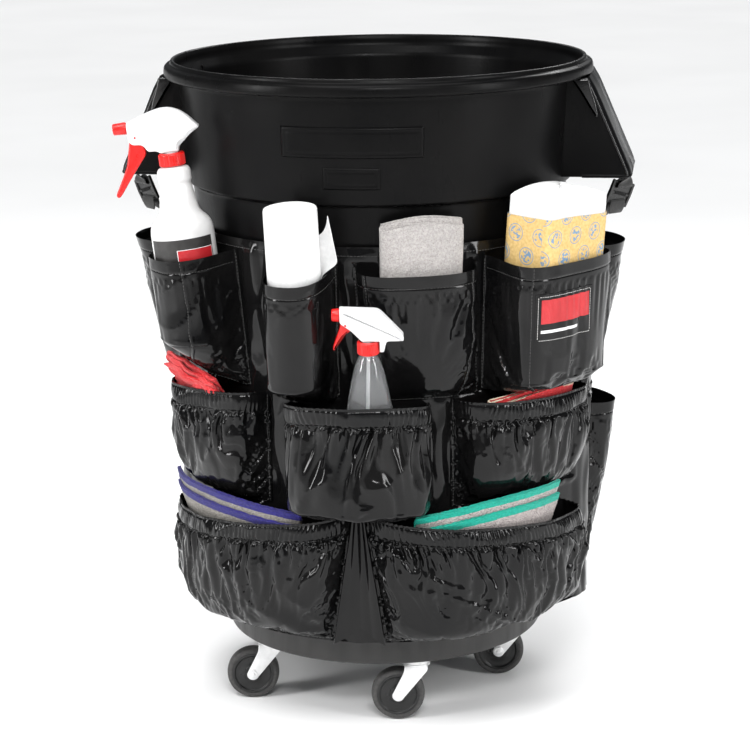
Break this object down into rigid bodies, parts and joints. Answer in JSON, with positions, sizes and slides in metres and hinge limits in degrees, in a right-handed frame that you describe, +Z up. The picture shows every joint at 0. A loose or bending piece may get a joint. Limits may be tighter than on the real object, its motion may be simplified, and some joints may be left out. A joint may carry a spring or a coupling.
{
  "type": "cleaning caddy",
  "caption": "Round waste container on a caster dolly, wearing a black vinyl caddy bag of sewn pockets loaded with spray bottles, cloths and paper towels.",
  "frame": {"origin": "on the floor under the middle of the whole object's box", "axes": "+Z up, -Y is the front of the container, the two handles lie along X"},
  "size_m": [0.7279, 0.6642, 0.927],
  "materials": {
    "moulded_black": "soft gloss moulded",
    "black_vinyl": "high gloss coated fabric",
    "black_webbing": "woven",
    "buckle_plastic": "satin",
    "plated_steel": "bright zinc",
    "tyre_rubber": "satin",
    "white_plastic": "smooth",
    "red_plastic": "smooth",
    "clear_plastic": "clear",
    "white_paper": "soft matte paper",
    "grey_cloth": "terry",
    "red_cloth": "terry"
  },
  "bodies": {
    "dolly": {"dolly_base": "moulded_black", "caster_plate_1": "plated_steel", "caster_plate_2": "plated_steel", "caster_plate_3": "plated_steel", "caster_plate_4": "plated_steel", "caster_plate_5": "plated_steel"},
    "caster_1": {"fork_1": "plated_steel", "axle_1": "plated_steel"},
    "rolling_wheel_1": {"wheel_1": "tyre_rubber"},
    "caster_2": {"fork_2": "plated_steel", "axle_2": "plated_steel"},
    "rolling_wheel_2": {"wheel_2": "tyre_rubber"},
    "caster_3": {"fork_3": "plated_steel", "axle_3": "plated_steel"},
    "rolling_wheel_3": {"wheel_3": "tyre_rubber"},
    "caster_4": {"fork_4": "plated_steel", "axle_4": "plated_steel"},
    "rolling_wheel_4": {"wheel_4": "tyre_rubber"},
    "caster_5": {"fork_5": "plated_steel", "axle_5": "plated_steel"},
    "rolling_wheel_5": {"wheel_5": "tyre_rubber"},
    "container": {"drum": "moulded_black", "skirt": "black_vinyl", "pocket_upper_left": "black_vinyl", "pocket_upper_roll": "black_vinyl", "pocket_upper_flat": "black_vinyl", "pocket_upper_right": "black_vinyl", "pocket_side_left": "black_vinyl", "pocket_side_right": "black_vinyl", "pocket_side_low": "black_vinyl", "pocket_middle_left": "black_vinyl", "pocket_middle_front": "black_vinyl", "pocket_middle_right": "black_vinyl", "pocket_lower_left": "black_vinyl", "pocket_lower_right": "black_vinyl", "strap_loop_left": "black_webbing", "strap_tab_left": "black_webbing", "buckle_left": "buckle_plastic", "strap_loop_right": "black_webbing", "strap_tab_right": "black_webbing", "buckle_right": "buckle_plastic", "red_cloth_left": "red_cloth", "red_cloth_right": "red_cloth", "blue_edge_cloth": "grey_cloth", "green_edge_cloth": "grey_cloth"},
    "spray_bottle_1": {"bottle_1": "white_plastic", "bottle_collar_1": "red_plastic", "spray_head_1": "white_plastic", "dip_tube_1": "white_plastic"},
    "trigger_lever_1": {"trigger_1": "red_plastic"},
    "nozzle_cap_1": {"nozzle_1": "red_plastic"},
    "spray_bottle_2": {"bottle_2": "clear_plastic", "bottle_collar_2": "red_plastic", "spray_head_2": "white_plastic", "dip_tube_2": "white_plastic"},
    "trigger_lever_2": {"trigger_2": "red_plastic"},
    "nozzle_cap_2": {"nozzle_2": "red_plastic"},
    "rolled_paper": {"paper_roll": "white_paper"},
    "packed_towels": {"towel_pack": "white_paper"},
    "folded_cloths": {"grey_cloths": "grey_cloth"}
  },
  "joints": [
    {"name": "container_lift", "type": "slide", "parent": "dolly", "child": "container", "axis": [0, 0, 1], "range_m": [0, 0.1]},
    {"name": "caster_swivel_1", "type": "hinge", "parent": "dolly", "child": "caster_1", "pos_m": [0.1958, 0.03489, 0.085], "axis": [0, 0, 1], "continuous": true},
    {"name": "wheel_roll_1", "type": "hinge", "parent": "caster_1", "child": "rolling_wheel_1", "pos_m": [0.16906, 0.03113, 0.03763], "axis": [0.1392, -0.9903, 0], "continuous": true},
    {"name": "caster_swivel_2", "type": "hinge", "parent": "dolly", "child": "caster_2", "pos_m": [0.05205, 0.21496, 0.085], "axis": [0, 0, 1], "continuous": true},
    {"name": "wheel_roll_2", "type": "hinge", "parent": "caster_2", "child": "rolling_wheel_2", "pos_m": [0.02531, 0.21121, 0.03763], "axis": [0.1392, -0.9903, 0], "continuous": true},
    {"name": "caster_swivel_3", "type": "hinge", "parent": "dolly", "child": "caster_3", "pos_m": [-0.16363, 0.13389, 0.085], "axis": [0, 0, 1], "continuous": true},
    {"name": "wheel_roll_3", "type": "hinge", "parent": "caster_3", "child": "rolling_wheel_3", "pos_m": [-0.19037, 0.13014, 0.03763], "axis": [0.1392, -0.9903, 0], "continuous": true},
    {"name": "caster_swivel_4", "type": "hinge", "parent": "dolly", "child": "caster_4", "pos_m": [-0.15318, -0.09628, 0.085], "axis": [0, 0, 1], "continuous": true},
    {"name": "wheel_roll_4", "type": "hinge", "parent": "caster_4", "child": "rolling_wheel_4", "pos_m": [-0.17991, -0.10004, 0.03763], "axis": [0.1392, -0.9903, 0], "continuous": true},
    {"name": "caster_swivel_5", "type": "hinge", "parent": "dolly", "child": "caster_5", "pos_m": [0.06896, -0.15747, 0.085], "axis": [0, 0, 1], "continuous": true},
    {"name": "wheel_roll_5", "type": "hinge", "parent": "caster_5", "child": "rolling_wheel_5", "pos_m": [0.04222, -0.16123, 0.03763], "axis": [0.1392, -0.9903, 0], "continuous": true},
    {"name": "spray_bottle_lift_1", "type": "slide", "parent": "container", "child": "spray_bottle_1", "axis": [-0.1141, 0.0099, 0.9934], "range_m": [0, 0.035]},
    {"name": "trigger_squeeze_1", "type": "hinge", "parent": "spray_bottle_1", "child": "trigger_lever_1", "pos_m": [-0.30403, -0.18612, 0.83846], "axis": [0.1345, -0.9906, 0.0253], "range_deg": [0, 15], "stiffness_Nm_per_rad": 0.8},
    {"name": "nozzle_turn_1", "type": "hinge", "parent": "spray_bottle_1", "child": "nozzle_cap_1", "pos_m": [-0.31703, -0.18759, 0.85007], "axis": [-0.9843, -0.1365, -0.1117], "range_deg": [-90, 90]},
    {"name": "spray_bottle_lift_2", "type": "slide", "parent": "container", "child": "spray_bottle_2", "axis": [0.0098, -0.1215, 0.9925], "range_m": [0, 0.1]},
    {"name": "trigger_squeeze_2", "type": "hinge", "parent": "spray_bottle_2", "child": "trigger_lever_2", "pos_m": [-0.00261, -0.30872, 0.61088], "axis": [0.1386, -0.9829, -0.1217], "range_deg": [0, 15], "stiffness_Nm_per_rad": 0.8},
    {"name": "nozzle_turn_2", "type": "hinge", "parent": "spray_bottle_2", "child": "nozzle_cap_2", "pos_m": [-0.00993, -0.31116, 0.62224], "axis": [-0.9903, -0.1387, -0.0072], "range_deg": [-90, 90]},
    {"name": "paper_roll_lift", "type": "slide", "parent": "container", "child": "rolled_paper", "axis": [-0.0207, -0.0847, 0.9962], "range_m": [0, 0.11]},
    {"name": "towel_pack_lift", "type": "slide", "parent": "container", "child": "packed_towels", "axis": [0.0714, -0.05, 0.9962], "range_m": [0, 0.1]},
    {"name": "grey_cloths_lift", "type": "slide", "parent": "container", "child": "folded_cloths", "axis": [0.047, -0.1492, 0.9877], "range_m": [0, 0.06]}
  ]
}
